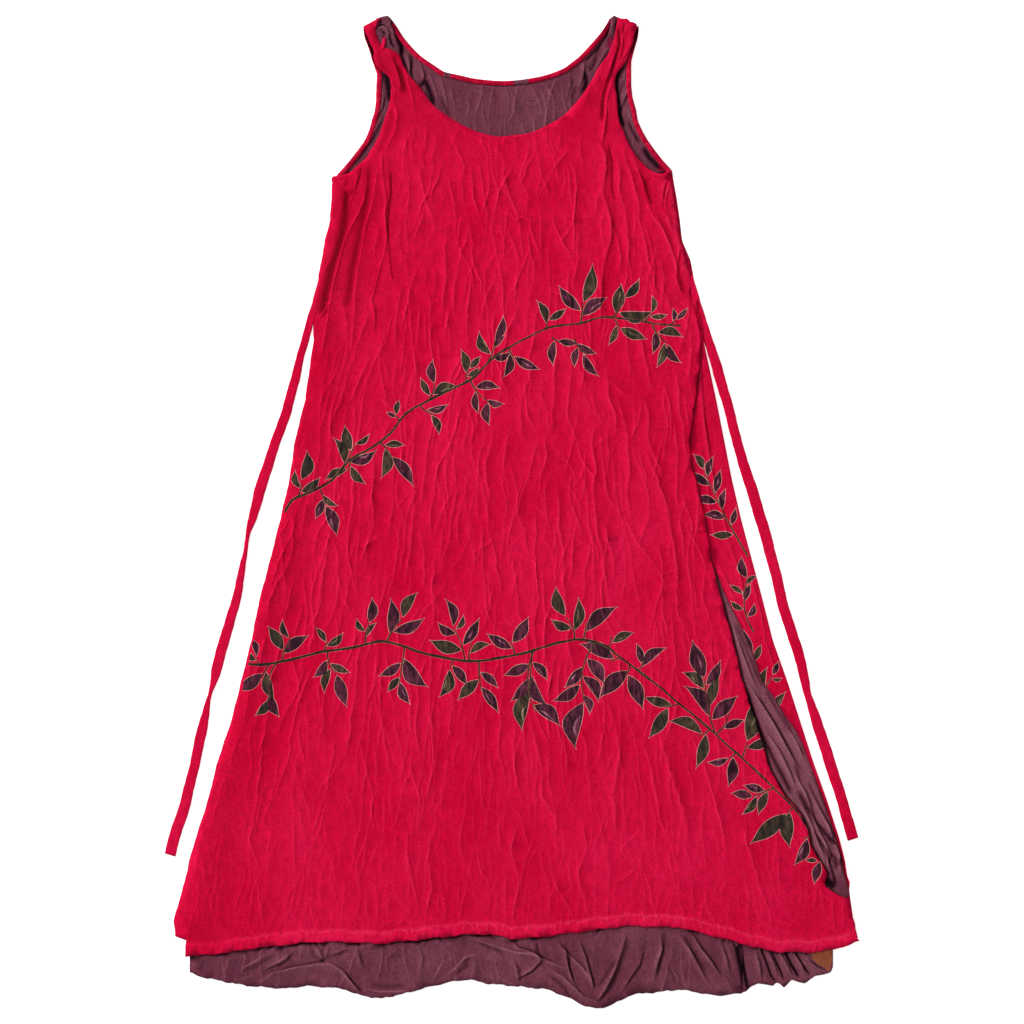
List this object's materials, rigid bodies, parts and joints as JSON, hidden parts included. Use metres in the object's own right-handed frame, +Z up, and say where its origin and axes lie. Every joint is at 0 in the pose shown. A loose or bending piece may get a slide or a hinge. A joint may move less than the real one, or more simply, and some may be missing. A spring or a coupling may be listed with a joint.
{
  "type": "maxi dress",
  "caption": "Sleeveless scoop-neck maxi dress laid flat, two cloth layers, side slit, waist ties, leafy vine print on a crinkled ground.",
  "frame": {"origin": "on the underside, on the middle line of the dress, 694 mm below the top of the straps", "axes": "+Z up out of the dress's front, +Y towards the neck, +X towards the side with the slit; the dress lies flat on its back"},
  "size_m": [0.9728, 1.3855, 0.0119],
  "materials": {
    "red_cloth": "matt crinkled crepe with a faint sheen",
    "plum_cloth": "matt crinkled crepe"
  },
  "bodies": {
    "root": {"outer_back": "red_cloth", "inner_back": "plum_cloth", "inner_front": "plum_cloth", "outer_front": "red_cloth", "back_neck_binding": "red_cloth", "armhole_binding_left": "red_cloth", "armhole_binding_right": "red_cloth", "tie_left": "red_cloth", "tie_right": "red_cloth"}
  },
  "joints": []
}
